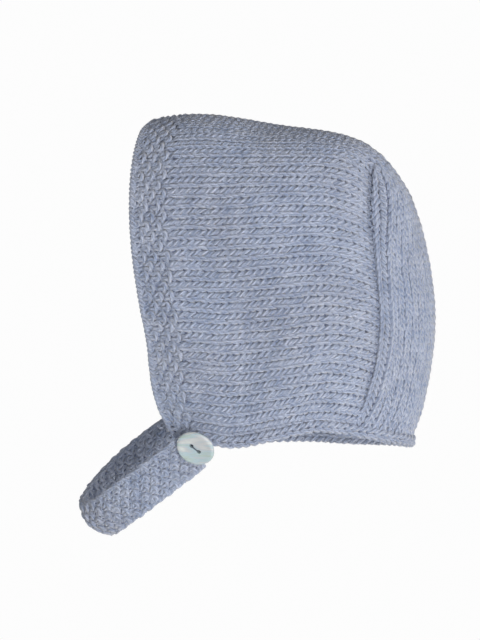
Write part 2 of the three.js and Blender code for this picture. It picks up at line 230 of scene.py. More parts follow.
def back(downs, across):
    """A grid of points of the back panel: one row for each of downs."""
    across = np.asarray(across, float)
    side, away = np.where(across > 0, 1.0, -1.0), np.abs(across)
    flat = math.cos(BACK_ROUNDNESS)
    width = np.sin(BACK_ROUNDNESS * away) / math.sin(BACK_ROUNDNESS)
    rise = (np.cos(BACK_ROUNDNESS * away) - flat) / (1 - flat)
    corner = hood_line(1.0, side * CORNER)
    crown = hood_line(1.0, side * CORNER * away)
    width_top = crown[:, 1] / corner[:, 1]
    rise_top = (crown[:, 2] - corner[:, 2]) / (BACK_LINE[0][2] - corner[:, 2])
    rows = []
    for down in downs:
        seam = hood_line(1.0, side * lerp(CORNER, 1, down))
        mx = column(BACK_LINE, BACK_LINE_KEYS, "x", down)
        mz = column(BACK_LINE, BACK_LINE_KEYS, "z", down)
        blend = smooth(down / BACK_BLEND)
        k, g = lerp(width_top, width, blend), lerp(rise_top, rise, blend)
        p = np.stack([lerp(seam[:, 0], mx, g), seam[:, 1] * k, lerp(seam[:, 2], mz, g)], -1)
        fades = smooth(down / RIDGE_FADE) * smooth((1 - down) / NECK_FADE)
        ridge = RIDGE_HEIGHT * bell(away - RIDGE_CENTRE, RIDGE_REACH) * fades
        rows.append(p + outward(p) * ridge[:, None])
    return np.stack(rows)


class Surface:
    """A grid of points over u and v from 0 to 1, with its outward normals."""

    def __init__(self, points, out=outward):
        self.p = points
        n = unit(np.cross(np.gradient(points, axis=0), np.gradient(points, axis=1)))
        if np.sum(n * out(points)) < 0:
            n = -n
        self.n = n

    def at(self, u, v, lift=0.0):
        """The points at u and v, raised along the normals."""
        nu, nv = self.p.shape[:2]
        a, b = np.asarray(u) * (nu - 1), np.asarray(v) * (nv - 1)
        i = np.clip(np.floor(a).astype(int), 0, nu - 2)
        j = np.clip(np.floor(b).astype(int), 0, nv - 2)
        f, g = (a - i)[..., None], (b - j)[..., None]

        def mix(m):
            low = m[i, j] * (1 - g) + m[i, j + 1] * g
            high = m[i + 1, j] * (1 - g) + m[i + 1, j + 1] * g
            return low * (1 - f) + high * f

        return mix(self.p) + unit(mix(self.n)) * np.asarray(lift)[..., None]


# Yarn

SAMPLES = 16
LIFT = 0.8
YARN = 0.98
# how far the legs lean out, how far they draw in, the loop's height in courses,
# how flat its head is, and how far its legs and its head stand off
PLAIN = dict(lean=0.24, draw=0.045, loop=1.8, round=1.0, leg=1.0, head=0.8)
MOSS = dict(lean=0.2, draw=0.0, loop=1.35, round=0.75, leg=0.5, head=1.25)
FOOT_TURN = 0.14
# how uneven the loops are, and how much more so in moss stitch
UNEVEN = dict(wale=0.03, loop=0.04, course=0.05, slant=0.35, thick=0.035, lift=0.07, tone=0.5)
MOSS_UNEVEN = 1.7
# how much the yarn swells in a leg, in moss stitch and in the bead of a purl
SWELL = dict(leg=0.08, moss=0.1, bead=0.28)


def course(signs, heads, seed):
    """One course of loops: wale, course and lift along the yarn, its tone and thickness."""
    rng = np.random.default_rng(seed)
    n = len(signs)
    t = np.arange(n * SAMPLES + 1) / SAMPLES
    k = np.minimum(t.astype(int), n - 1)
    f = t - k
    here, head = signs[k], heads[k]
    aside = np.where(f < 0.5, signs[np.maximum(k - 1, 0)], signs[np.minimum(k + 1, n - 1)])
    moss = np.interp(t, np.arange(n) + 0.5, (signs * heads < 0).astype(float))

    def shape(key):
        return lerp(PLAIN[key], MOSS[key], moss)

    def wander(key):
        amount = lerp(UNEVEN[key], UNEVEN[key] * MOSS_UNEVEN, moss)
        return np.interp(t, np.arange(n + 1), rng.normal(0, 1, n + 1)) * amount

    legs = np.sin(2 * np.pi * f) ** 2
    turns = 1 - legs
    middle = np.abs(f - 0.5) < 0.25
    lift = here * legs * shape("leg")
    foot = np.where(aside == here, here, here * smooth(np.minimum(f, 1 - f) / FOOT_TURN))
    lift = lift - turns * np.where(middle, head * shape("head"), foot)
    wale = t + shape("lean") * np.sin(4 * np.pi * f) + shape("draw") * np.sin(2 * np.pi * f) + wander("wale")
    rise = np.cos(2 * np.pi * f)
    rise = np.sign(rise) * np.abs(rise) ** shape("round")
    high = -rise * shape("loop") / 2 * (1 + wander("loop")) + wander("course")
    slant = np.interp(t, np.arange(n) + 0.5, rng.normal(0, UNEVEN["slant"], n))
    high = high + moss * (f - 0.5) * middle * slant
    bead = turns * middle * (head < 0)
    thick = 1 + SWELL["leg"] * legs * (1 - moss) + SWELL["moss"] * moss + SWELL["bead"] * bead
    thick = thick + wander("thick")
    return wale, high, lift * LIFT * (1 + wander("lift")), wander("tone"), thick


def drift(seed, courses, wales, reach_courses, reach_wales, amount):
    """A smooth random field over a panel, read by course and wale."""
    rng = np.random.default_rng(seed)
    knots = rng.normal(0, amount, (int(courses / reach_courses) + 3, int(wales / reach_wales) + 3))

    def read(course_at, wale_at):
        a = np.clip(course_at / reach_courses, 0, knots.shape[0] - 1.001)
        b = np.clip(wale_at / reach_wales, 0, knots.shape[1] - 1.001)
        i, j = a.astype(int), b.astype(int)
        f, g = smooth(a - i), smooth(b - j)
        low = lerp(knots[i, j], knots[i, j + 1], g)
        return lerp(low, lerp(knots[i + 1, j], knots[i + 1, j + 1], g), f)

    return read


def yarn_tree():
    """Sweeps a round strand along each edge path, for as many paths as the mesh holds."""
    tree = bpy.data.node_groups.new("yarn", "GeometryNodeTree")
    inputs = {"Geometry": "Geometry", "Radius": "Float", "Sides": "Int", "Material": "Material"}
    for label, kind in inputs.items():
        tree.interface.new_socket(label, in_out="INPUT", socket_type="NodeSocket" + kind)
    tree.interface.new_socket("Geometry", in_out="OUTPUT", socket_type="NodeSocketGeometry")
    new, link = tree.nodes.new, tree.links.new
    given, result = new("NodeGroupInput"), new("NodeGroupOutput")

    def capture(curve, label, measure):
        """Keeps how far along its curve each point lies."""
        node = new("GeometryNodeCaptureAttribute")
        node.capture_items.new("FLOAT", label)
        link(curve, node.inputs["Geometry"])
        link(new("GeometryNodeSplineParameter").outputs[measure], node.inputs[label])
        return node

    curve = new("GeometryNodeMeshToCurve")
    link(given.outputs["Geometry"], curve.inputs["Mesh"])
    thick = new("GeometryNodeInputNamedAttribute")
    thick.data_type = "FLOAT"
    thick.inputs["Name"].default_value = "thick"
    swell = new("GeometryNodeSetCurveRadius")
    link(curve.outputs["Curve"], swell.inputs["Curve"])
    link(thick.outputs["Attribute"], swell.inputs["Radius"])
    along = capture(swell.outputs["Curve"], "along", "Length")
    circle = new("GeometryNodeCurvePrimitiveCircle")
    link(given.outputs["Sides"], circle.inputs["Resolution"])
    link(given.outputs["Radius"], circle.inputs["Radius"])
    angle = capture(circle.outputs["Curve"], "turn", "Factor")
    sweep = new("GeometryNodeCurveToMesh")
    sweep.inputs["Fill Caps"].default_value = True
    link(along.outputs["Geometry"], sweep.inputs["Curve"])
    link(angle.outputs["Geometry"], sweep.inputs["Profile Curve"])
    whole = new("ShaderNodeMath")
    whole.operation = "MULTIPLY"
    whole.inputs[1].default_value = 2 * math.pi
    link(angle.outputs["turn"], whole.inputs[0])
    cosine, sine = new("ShaderNodeMath"), new("ShaderNodeMath")
    cosine.operation, sine.operation = "COSINE", "SINE"
    link(whole.outputs[0], cosine.inputs[0])
    link(whole.outputs[0], sine.inputs[0])
    place = new("ShaderNodeCombineXYZ")
    link(cosine.outputs[0], place.inputs["X"])
    link(sine.outputs[0], place.inputs["Y"])
    link(along.outputs["along"], place.inputs["Z"])
    store = new("GeometryNodeStoreNamedAttribute")
    store.data_type, store.domain = "FLOAT_VECTOR", "POINT"
    store.inputs["Name"].default_value = "strand"
    link(sweep.outputs["Mesh"], store.inputs["Geometry"])
    link(place.outputs["Vector"], store.inputs["Value"])
    shade = new("GeometryNodeSetShadeSmooth")
    link(store.outputs["Geometry"], shade.inputs["Geometry"])
    paint = new("GeometryNodeSetMaterial")
    link(shade.outputs["Geometry"], paint.inputs["Geometry"])
    link(given.outputs["Material"], paint.inputs["Material"])
    real = new("GeometryNodeRealizeInstances")
    link(paint.outputs["Geometry"], real.inputs["Geometry"])
    link(real.outputs["Geometry"], result.inputs["Geometry"])
    return tree


YARN_TREE = yarn_tree()


def in_scene(name, data):
    made = bpy.data.objects.new(name, data)
    bpy.context.scene.collection.objects.link(made)
    return made


def put(name, mesh):
    """A piece of the bonnet."""
    piece = in_scene(name, mesh)
    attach(piece, "root")
    return piece


def finished(piece):
    """A mesh of the piece with its modifiers applied."""
    graph = bpy.context.evaluated_depsgraph_get()
    return bpy.data.meshes.new_from_object(piece.evaluated_get(graph))


def strands(name, paths, material, radius=YARN, sides=6):
    """A piece made of strands: each path is points in millimetres, their tone and thickness."""
    points = np.concatenate([path[0] for path in paths]) * MM
    edges, start = [], 0
    for path in paths:
        n = len(path[0])
        a = np.arange(start, start + n - 1)
        edges.append(np.stack([a, a + 1], -1))
        start += n
    mesh = bpy.data.meshes.new(name + "_path")
    mesh.from_pydata(points.tolist(), np.concatenate(edges).tolist(), [])
    for column_name, k in (("tone", 1), ("thick", 2)):
        values = np.concatenate([path[k] for path in paths]).astype(np.float32)
        mesh.attributes.new(column_name, "FLOAT", "POINT").data.foreach_set("value", values)
    carrier = in_scene(name + "_path", mesh)
    modifier = carrier.modifiers.new("yarn", "NODES")
    modifier.node_group = YARN_TREE
    values = {"Radius": radius * MM, "Sides": sides, "Material": material}
    for item in YARN_TREE.interface.items_tree:
        if item.in_out == "INPUT" and item.name in values:
            modifier[item.identifier] = values[item.name]
    made = finished(carrier)
    made.name = name
    bpy.data.objects.remove(carrier)
    bpy.data.meshes.remove(mesh)
    return put(name, made)


# points closer than this, in metres, are joined
WELD = 2e-6
# how high the inner and the outer face of a panel's wall lie
WALL = (-0.5, 0.1)


def both_faces(surface, us, vs, lifts):
    """Grids of points on the inner and the outer face of a wall."""
    u, v = np.meshgrid(us, vs, indexing="ij")
    return [surface.at(u, v, np.full(u.shape, lift)) for lift in lifts]


def wall(name, surface, us, vs, lifts):
    """A thin closed wall behind the loops of a surface."""
    return closed(name, *both_faces(surface, us, vs, lifts))


def welded(mesh):
    """Joins points that coincide and turns every face outwards."""
    bm = bmesh.new()
    bm.from_mesh(mesh)
    bmesh.ops.remove_doubles(bm, verts=bm.verts, dist=WELD)
    bmesh.ops.recalc_face_normals(bm, faces=bm.faces)
    bm.to_mesh(mesh)
    bm.free()


def closed(name, inner, outer):
    """A piece with an inner and an outer face and a rim between them."""
    nu, nv = outer.shape[:2]
    points = np.concatenate([outer.reshape(-1, 3), inner.reshape(-1, 3)]) * MM
    index = np.arange(nu * nv).reshape(nu, nv)
    a, b, c, d = index[:-1, :-1], index[1:, :-1], index[1:, 1:], index[:-1, 1:]
    top = np.stack([a, b, c, d], -1).reshape(-1, 4)
    off = nu * nv
    faces = [top, top[:, ::-1] + off]
    rim = np.concatenate([index[:, 0], index[-1, 1:], index[-2::-1, -1], index[0, -2:0:-1]])
    after = np.roll(rim, -1)
    faces.append(np.stack([rim, rim + off, after + off, after], -1))
    mesh = bpy.data.meshes.new(name)
    mesh.from_pydata(points.tolist(), [], np.concatenate(faces).tolist())
    welded(mesh)
    mesh.shade_smooth()
    # the wall takes the dark backing colour: painted shade seen between the loops
    mesh.materials.append(PAINTED_SHADE)
    return put(name, mesh)


# Materials


def blank(name):
    """A new material, its nodes and its main shader."""
    material = bpy.data.materials.new(name)
    material.use_nodes = True
    tree = material.node_tree
    return material, tree, tree.nodes["Principled BSDF"]


def set_inputs(node, values):
    for name, value in values.items():
        node.inputs[name].default_value = value


def group(name, inputs, outputs):
    """A new group of shader nodes, with its input and output nodes."""
    tree = bpy.data.node_groups.new(name, "ShaderNodeTree")
    for label, kind, value in inputs:
        socket = tree.interface.new_socket(label, in_out="INPUT", socket_type=kind)
        socket.default_value = value
    for label, kind in outputs:
        tree.interface.new_socket(label, in_out="OUTPUT", socket_type=kind)
    return tree, tree.nodes.new("NodeGroupInput"), tree.nodes.new("NodeGroupOutput")


def math_node(tree, operation, a, b=None, c=None):
    node = tree.nodes.new("ShaderNodeMath")
    node.operation = operation
    for socket, value in zip(node.inputs, (a, b, c)):
        if value is None:
            continue
        if isinstance(value, (int, float)):
            socket.default_value = value
        else:
            tree.links.new(value, socket)
    return node.outputs[0]


def noise(tree, vector, scale, detail, distortion=0.0):
    node = tree.nodes.new("ShaderNodeTexNoise")
    set_inputs(node, {"Scale": scale, "Detail": detail, "Distortion": distortion})
    tree.links.new(vector, node.inputs["Vector"])
    return node.outputs["Fac"]


def ramp(tree, value, stops):
    """Colours along a value, from pairs of a place and a colour."""
    node = tree.nodes.new("ShaderNodeValToRGB")
    elements = node.color_ramp.elements
    while len(elements) < len(stops):
        elements.new(0.5)
    for element, (place, colour) in zip(elements, stops):
        element.position = place
        element.color = (*colour, 1)
    tree.links.new(value, node.inputs["Fac"])
    return node.outputs["Color"]


def bump(tree, shader, height, strength, distance):
    node = tree.nodes.new("ShaderNodeBump")
    set_inputs(node, {"Strength": strength, "Distance": distance})
    tree.links.new(height, node.inputs["Height"])
    tree.links.new(node.outputs["Normal"], shader.inputs["Normal"])


# how fine the fibres are across the yarn and along it
FIBRES = {"X": 4.0, "Y": 4.0, "Z": 900.0}
# how fine the patterns are that cover a whole piece
CLOUD_SCALE, HUE_SCALE, GRAIN_SCALE, PEARL_SCALE = 160.0, 26.0, 700.0, (70, 70, 420)
# the share of the fibres in the relief, and the depth of the relief in metres
FIBRE_RELIEF, WOOL_DEPTH, GRAIN_DEPTH = 0.8, 0.0005, 0.0003
# what each pattern adds to the mix of the dark and the light colour
# the ply weight darkens the colour in the grooves between plies: painted shade
MIX = dict(base=-0.57, ply_relief_and_shade=0.35, fibre=1.0, cloud=0.9, tone=0.12)
HUES = [(0.3, (0.97, 0.965, 0.955)), (0.7, (0.975, 1.0, 1.02))]


def spun_wool():
    """Three plies twisted together, with fibres along them and a soft change of tone; the colour is darker
    in the grooves between the plies, a painted shade.
    """
    tree, given, result = group(
        "spun_wool",
        [
            ("Light", "NodeSocketColor", (0.5, 0.5, 0.5, 1)),
            ("Dark", "NodeSocketColor", (0.3, 0.3, 0.3, 1)),
            ("Plies", "NodeSocketFloat", 3.0),
            ("Twist", "NodeSocketFloat", 2000.0),
        ],
        [("Color", "NodeSocketColor"), ("Height", "NodeSocketFloat")],
    )
    link = tree.links.new
    strand = tree.nodes.new("ShaderNodeAttribute")
    strand.attribute_name = "strand"
    parts = tree.nodes.new("ShaderNodeSeparateXYZ")
    link(strand.outputs["Vector"], parts.inputs[0])
    angle = math_node(tree, "ARCTAN2", parts.outputs["Y"], parts.outputs["X"])
    wound = math_node(tree, "MULTIPLY", parts.outputs["Z"], given.outputs["Twist"])
    phase = math_node(tree, "MULTIPLY_ADD", angle, given.outputs["Plies"], wound)
    half = math_node(tree, "MULTIPLY", phase, 0.5)
    # the ply relief, which the colour follows too: painted shade in the grooves
    ply_relief_and_shade = math_node(tree, "ABSOLUTE", math_node(tree, "SINE", half))
    place = tree.nodes.new("ShaderNodeTexCoord").outputs["Object"]
    along = tree.nodes.new("ShaderNodeCombineXYZ")
    for axis, stretch in FIBRES.items():
        link(math_node(tree, "MULTIPLY", parts.outputs[axis], stretch), along.inputs[axis])
    fibre = noise(tree, along.outputs[0], 1.0, 3.0)
    cloud = noise(tree, place, CLOUD_SCALE, 2.0)
    tone = tree.nodes.new("ShaderNodeAttribute")
    tone.attribute_name = "tone"
    mix = MIX["base"]
    for key, value in (("ply_relief_and_shade", ply_relief_and_shade), ("fibre", fibre), ("cloud", cloud), ("tone", tone.outputs["Fac"])):
        mix = math_node(tree, "MULTIPLY_ADD", value, MIX[key], mix)
    blend = tree.nodes.new("ShaderNodeMix")
    blend.data_type = "RGBA"
    link(mix, blend.inputs["Factor"])
    link(given.outputs["Dark"], blend.inputs["A"])
    link(given.outputs["Light"], blend.inputs["B"])
    hue = ramp(tree, noise(tree, place, HUE_SCALE, 1.0), HUES)
    tinted = tree.nodes.new("ShaderNodeMix")
    tinted.data_type, tinted.blend_type = "RGBA", "MULTIPLY"
    tinted.inputs["Factor"].default_value = 1.0
    link(blend.outputs["Result"], tinted.inputs["A"])
    link(hue, tinted.inputs["B"])
    link(tinted.outputs["Result"], result.inputs["Color"])
    height = math_node(tree, "MULTIPLY_ADD", fibre, FIBRE_RELIEF, ply_relief_and_shade)
    link(height, result.inputs["Height"])
    return tree


SPUN = spun_wool()


def wool(name, light, dark, relief=0.9, sheen=0.45):
    """Spun yarn between a light and a dark colour, with a soft sheen."""
    material, tree, shader = blank(name)
    spun = tree.nodes.new("ShaderNodeGroup")
    spun.node_tree = SPUN
    set_inputs(spun, {"Light": (*light, 1), "Dark": (*dark, 1)})
    tree.links.new(spun.outputs["Color"], shader.inputs["Base Color"])
    bump(tree, shader, spun.outputs["Height"], relief, WOOL_DEPTH)
    set_inputs(shader, {"Roughness": 0.92, "Specular IOR Level": 0.2, "Sheen Weight": sheen})
    set_inputs(shader, {"Sheen Roughness": 0.45, "Sheen Tint": (1.0, 0.92, 0.78, 1)})
    return material


WOOL = wool("wool", (0.462, 0.50, 0.617), (0.185, 0.238, 0.372))
# a slightly lighter copy of the same wool, used for the face band, the cast-on edge and the strap: painted
# light
WOOL_PAINTED_LIGHTER = wool("wool_band", (0.475, 0.514, 0.63), (0.19, 0.245, 0.38))


def painted_shade_backing():
    """A dark backing behind the loops: painted shade that shows through the gaps between them."""
    material, tree, shader = blank("painted_shade_behind_loops")
    grain = noise(tree, tree.nodes.new("ShaderNodeTexCoord").outputs["Object"], GRAIN_SCALE, 3.0)
    # colours darker than the yarn: painted shade
    colour = ramp(tree, grain, [(0.0, (0.11, 0.13, 0.20)), (1.0, (0.24, 0.27, 0.37))])
    tree.links.new(colour, shader.inputs["Base Color"])
    bump(tree, shader, grain, 0.6, GRAIN_DEPTH)
    set_inputs(shader, {"Roughness": 1.0, "Specular IOR Level": 0.1})
    return material


PAINTED_SHADE = painted_shade_backing()


def pearl():
    """Layered shell, polished, with bands of green, blue and pink."""
    material, tree, shader = blank("pearl")
    link = tree.links.new
    stretch = tree.nodes.new("ShaderNodeMapping")
    set_inputs(stretch, {"Scale": PEARL_SCALE})
    link(tree.nodes.new("ShaderNodeTexCoord").outputs["Object"], stretch.inputs["Vector"])
    cloud = noise(tree, stretch.outputs["Vector"], 1.0, 4.0, 0.6)
    stops = [
        (0.25, (0.29, 0.36, 0.34)),
        (0.4, (0.43, 0.52, 0.49)),
        (0.5, (0.38, 0.49, 0.54)),
        (0.58, (0.48, 0.49, 0.50)),
        (0.75, (0.60, 0.65, 0.62)),
    ]
    link(ramp(tree, cloud, stops), shader.inputs["Base Color"])
    link(math_node(tree, "MULTIPLY_ADD", cloud, 0.2, 0.18), shader.inputs["Roughness"])
    set_inputs(shader, {"Coat Weight": 0.5, "Coat Roughness": 0.12})
    return material


PEARL = pearl()
THREAD = wool("thread", (0.13, 0.15, 0.19), (0.05, 0.06, 0.085), relief=0.4, sheen=0.1)

# Hood and face band

HOOD = Surface(hood(np.linspace(0, 1, 145), np.linspace(-1, 1, 309)))
BACK = Surface(back(np.linspace(0, 1, 161), np.linspace(-1, 1, 121)))
# where the first course and the seam lie along the hood, and how far a loop reaches past its course
EDGE_AT, SEAM_AT, OVERHANG = 0.011, 1.03, 0.45
SIDE_FADE = 2
# the radius of each yarn in millimetres
BAND_YARN, EDGE_YARN, NECK_YARN, STRAP_YARN, STRAP_EDGE_YARN = 1.04, 0.86, 0.9, 1.0, 0.78


def along_hood(place):
    """Where a course lies along the hood, from its number."""
    band = EDGE_AT + (place + OVERHANG) * (BAND_END - EDGE_AT) / (BAND_COURSES + OVERHANG)
    rest = BAND_END + (place - BAND_COURSES) * (SEAM_AT - BAND_END) / (COURSES + OVERHANG - BAND_COURSES)
    return np.where(place < BAND_COURSES, band, rest)


def moss_signs(j, count):
    """Knit and purl by turns, the other way round in each next course."""
    return np.where((np.arange(count) + j) % 2, 1.0, -1.0)


def hood_signs(j):
    return moss_signs(j, WALES) if j < BAND_COURSES else np.ones(WALES)


HOOD_SEED, BACK_SEED, NECK_SEED, STRAP_SEED = 100, 300, 500, 700
# how far the columns and the courses wander
SLACK = drift(41, COURSES, WALES, 5, 1, 0.055)
SWAY = drift(42, COURSES, WALES, 1, 9, 0.07)


def hood_course(j, first, last):
    """The yarn of course j from wale first to wale last, cut from the whole course."""
    wale, high, lift, tone, thick = course(hood_signs(j), hood_signs(j + 1), HOOD_SEED + j)
    cut = slice(first * SAMPLES, last * SAMPLES + 1)
    height = j + 0.5 + high[cut]
    wale = wale[cut]
    fade = np.minimum(smooth(wale / SIDE_FADE), smooth((WALES - wale) / SIDE_FADE))
    v = (wale + SLACK(height, wale) * fade) / WALES
    u = along_hood(height + SWAY(height, wale))
    return HOOD.at(u, v, lift[cut]), tone[cut], thick[cut]


BACK_FIRST = (WALES - BACK_WALES) // 2
PANELS = {
    "knit_side_near": (0, BACK_FIRST),
    "knit_crown_top": (BACK_FIRST, WALES - BACK_FIRST),
    "knit_side_far": (WALES - BACK_FIRST, WALES),
}
hood_pieces = []
for name, (first, last) in PANELS.items():
    paths = [hood_course(j, first, last) for j in range(BAND_COURSES, COURSES)]
    piece = strands(name, paths, WOOL)
    hood_pieces.append(piece)

band_paths = [hood_course(j, 0, WALES) for j in range(BAND_COURSES)]
band = strands("knit_face_band", band_paths, WOOL_PAINTED_LIGHTER, BAND_YARN)
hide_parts("front_band")

# how far round the edge the two strands reach, along the hood and in millimetres off it
CAST_ON = dict(inward=0.0008, reach=0.0062, lift=0.62, steps=12, tone=0.3)


def cast_on():
    """The cast-on edge: two strands wound round the first course."""
    t = np.linspace(0, WALES, WALES * CAST_ON["steps"] + 1)
    made = []
    for phase in (0, math.pi):
        turn = 2 * np.pi * t + phase
        u = EDGE_AT + CAST_ON["inward"] + CAST_ON["reach"] * np.cos(turn)
        points = HOOD.at(u, t / WALES, CAST_ON["lift"] * np.sin(turn))
        made.append((points, np.full(len(t), CAST_ON["tone"]), np.ones(len(t))))
    return made


edge = strands("knit_cast_on", cast_on(), WOOL_PAINTED_LIGHTER, EDGE_YARN)

# Back panel

BACK_SLACK = drift(43, BACK_COURSES, BACK_WALES, 5, 1, 0.05)


def back_course(j):
    signs = np.ones(BACK_WALES)
    wale, high, lift, tone, thick = course(signs, signs, BACK_SEED + j)
    height = j + 0.5 + high
    wale = wale + BACK_SLACK(np.maximum(height, 0), wale)
    return BACK.at(height / BACK_COURSES, wale / BACK_WALES, lift), tone, thick


back_piece = strands("knit_back", [back_course(j) for j in range(BACK_COURSES)], WOOL)
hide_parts("back_panel")

# how far the hood's wall reaches into the back panel, across it and down from its top
SEAM_IN, SEAM_DOWN = 0.025, 0.004
# the places along and across its panel that a wall joins
BACK_GRID = np.linspace(0, 0.998, 60), np.linspace(0.02, 0.98, 50)
NECK_GRID = np.linspace(0.002, 0.998, 240), np.linspace(0, 1, 21)
STRAP_GRID = np.linspace(0.008, 0.992, 130), np.linspace(0.03, 0.97, 14)
NECK_WALL, STRAP_WALL = (-0.7, -0.1), (-0.3, 0.3)


def hood_core():
    """The wall behind the loops, carried on to the back panel's edge."""
    vs = np.linspace(0, 1, 150)
    us = np.append(np.linspace(0.012, 0.985, 62), 0.996)
    across = vs * 2 - 1
    aside = np.clip(np.clip(across / CORNER, -1, 1) * 0.5 + 0.5, SEAM_IN, 1 - SEAM_IN)
    down = np.clip((np.abs(across) - CORNER) / (1 - CORNER), SEAM_DOWN, 1)
    grids = []
    for grid, lift in zip(both_faces(HOOD, us, vs, WALL), WALL):
        grids.append(np.concatenate([grid, BACK.at(down, aside, np.full(len(vs), lift))[None]]))
    return closed("knit_hood_inner", *grids)


hood_wall = hood_core()
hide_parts("crown_panel")
back_wall = wall("knit_back_inner", BACK, *BACK_GRID, WALL)

# Neck band

HEM_START, HEM_POINTS, HEM_SMOOTHINGS = 0.02, 280, 6
# half the edge's thickness, how far it reaches up and down, the depth of its round foot, where its
# middle lies, and the share of its size that its ends keep, over what share of its length
NECK_EDGE = dict(half=1.45, high=0.5, low=-4.45, foot=1.5, middle=-2.2, ends=0.62, reach=0.014)
NECK_PITCH, NECK_WALES, NECK_LIFT = 3.6, 2, 0.8


def hem_line():
    """The lower edge of the hood and the back panel, from one face corner to the other."""
    near = HOOD.at(np.linspace(HEM_START, 1, 60), np.zeros(60))
    far = HOOD.at(np.linspace(1, HEM_START, 60), np.ones(60))
    behind = BACK.at(np.ones(60), np.linspace(0.03, 0.97, 60))
    line = np.concatenate([near[:-1], behind, far[1:]])
    for _ in range(HEM_SMOOTHINGS):
        line[1:-1] = line[1:-1] * 0.5 + (line[:-2] + line[2:]) * 0.25
    return spread(line, HEM_POINTS)


def neck_surface():
    """The surface of the neck edge, folded round the hem line, and its length."""
    line, length = hem_line()
    out = outward(line)
    out[:, 2] = 0
    out = unit(out)
    half, high, foot = NECK_EDGE["half"], NECK_EDGE["high"], NECK_EDGE["foot"]
    turn = np.linspace(0, np.pi, 13)
    side = np.concatenate([[half, half], half * np.cos(turn), [-half, -half]])
    mid = NECK_EDGE["low"] + foot
    down = np.concatenate([[high, (high + mid) / 2], mid - foot * np.sin(turn), [(high + mid) / 2, high]])
    side, down = spread(np.stack([side, down], -1), 25)[0].T
    s = np.linspace(0, 1, len(line))
    full = lerp(NECK_EDGE["ends"], 1.0, smooth(np.minimum(s, 1 - s) / NECK_EDGE["reach"]))
    points = line[:, None, :] + out[:, None, :] * (full[:, None] * side)[..., None]
    points[..., 2] += full[:, None] * down
    middle = line + np.array([0, 0, NECK_EDGE["middle"]])
    return Surface(points, lambda p: p - middle[:, None, :]), length


NECK, NECK_LENGTH = neck_surface()
NECK_COURSES = round(NECK_LENGTH / NECK_PITCH)


def neck_course(j):
    signs = np.ones(NECK_WALES)
    wale, high, lift, tone, thick = course(signs, signs, NECK_SEED + j)
    points = NECK.at((j + 0.5 + high) / NECK_COURSES, wale / NECK_WALES, lift * NECK_LIFT)
    return points, tone, thick


neck = strands("knit_neck_edge", [neck_course(j) for j in range(NECK_COURSES)], WOOL, NECK_YARN)
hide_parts("neck_band")
neck_wall = wall("knit_neck_inner", NECK, *NECK_GRID, NECK_WALL)

hood_pieces += [band, edge, neck, neck_wall]

# Chin strap

STRAP_POINTS, STRAP_MARGIN, SLANT_REACH = 260, 1.2, 11
STRAP_ACROSS = unit(np.array([0.68, 0, -0.735]))
# stitches across the strap, the height of a row, and the length that no row takes up
STRAP_WALES, STRAP_PITCH, STRAP_BARE = 5, 3.0, 2
# the bare end of the strap, the share of its height a loop keeps, the lift of its loops and of its turns
STRAP_END, STRAP_LOOP, STRAP_LIFT, STRAP_TURN = 1.6, 0.95, 0.82, 0.15


def strap_surface():
    """The strap's middle surface along its route, and its length."""
    route = STRAP_ROUTE
    gaps = np.sqrt(np.linalg.norm(np.diff(route[:, :3], axis=0), axis=1))
    knots = np.concatenate([[0], np.cumsum(gaps)])
    t = np.linspace(0, knots[-1], 500)
    points = np.stack([hermite(knots, route[:, k], t) for k in range(3)], -1)
    place = np.interp(t, knots, np.arange(len(route)))
    turn = np.radians(hermite(np.arange(len(route)), route[:, 3], place))
    cup = hermite(np.arange(len(route)), route[:, 4], place)
    length = path_length(points)
    points, whole = spread(points, STRAP_POINTS)
    s = np.linspace(0, whole, STRAP_POINTS)
    turn, cup = np.interp(s, length, turn), np.interp(s, length, cup)
    tangent = unit(np.gradient(points, axis=0))
    width = unit(STRAP_ACROSS - tangent * (tangent @ STRAP_ACROSS)[:, None])
    face = unit(np.cross(width, tangent))
    cosine, sine = np.cos(turn)[:, None], np.sin(turn)[:, None]
    width = width * cosine + np.cross(tangent, width) * sine
    face = face * cosine + np.cross(tangent, face) * sine
    w = np.linspace(-1, 1, 31)
    half = STRAP_WIDTH / 2 - STRAP_MARGIN
    slant = STRAP_SLANT * np.clip(1 - (whole - s) / SLANT_REACH, 0, 1)
    grid = points[:, None] + width[:, None] * (w * half)[None, :, None]
    grid = grid - tangent[:, None] * (slant[:, None] * w[None] * half)[..., None]
    grid = grid + face[:, None] * (cup[:, None] * (0.5 - w[None] ** 2))[..., None]
    return Surface(grid, lambda p: np.broadcast_to(face[:, None], p.shape)), whole


STRAP, STRAP_LENGTH = strap_surface()
STRAP_ROWS = round((STRAP_LENGTH - STRAP_BARE) / STRAP_PITCH)


def strap_path():
    """One strand that goes back and forth along the strap's rows."""
    made, tones, thicks = [], [], []
    covered = STRAP_LENGTH - 2 * STRAP_END
    for j in range(STRAP_ROWS):
        signs = moss_signs(j, STRAP_WALES)
        wale, high, lift, tone, thick = course(signs, -signs, STRAP_SEED + j)
        u = (STRAP_END + (j + 0.5 + high * STRAP_LOOP) * covered / STRAP_ROWS) / STRAP_LENGTH
        points = STRAP.at(u, wale / STRAP_WALES, lift * STRAP_LIFT)
        if j % 2:
            points, tone, thick = points[::-1], tone[::-1], thick[::-1]
        if made:
            a, b = made[-1][-1], points[0]
            edge_at, middle_at = STRAP.at(np.array([u[0], u[0]]), np.array([float(j % 2), 0.5]))
            out = unit(edge_at - middle_at)
            steps = np.linspace(0, 1, 6)[1:-1, None]
            made.append(a * (1 - steps) + b * steps + out * np.sin(np.pi * steps) * STRAP_TURN)
            tones.append(np.zeros(len(steps)))
            thicks.append(np.ones(len(steps)))
        made.append(points)
        tones.append(tone)
        thicks.append(thick)
    return [tuple(np.concatenate(part) for part in (made, tones, thicks))]


# how far along the strap its edging starts, how far round the edge it reaches, and its lift
EDGING = dict(start=0.006, inward=0.012, reach=0.022, lift=0.5, steps=10, tone=0.1)


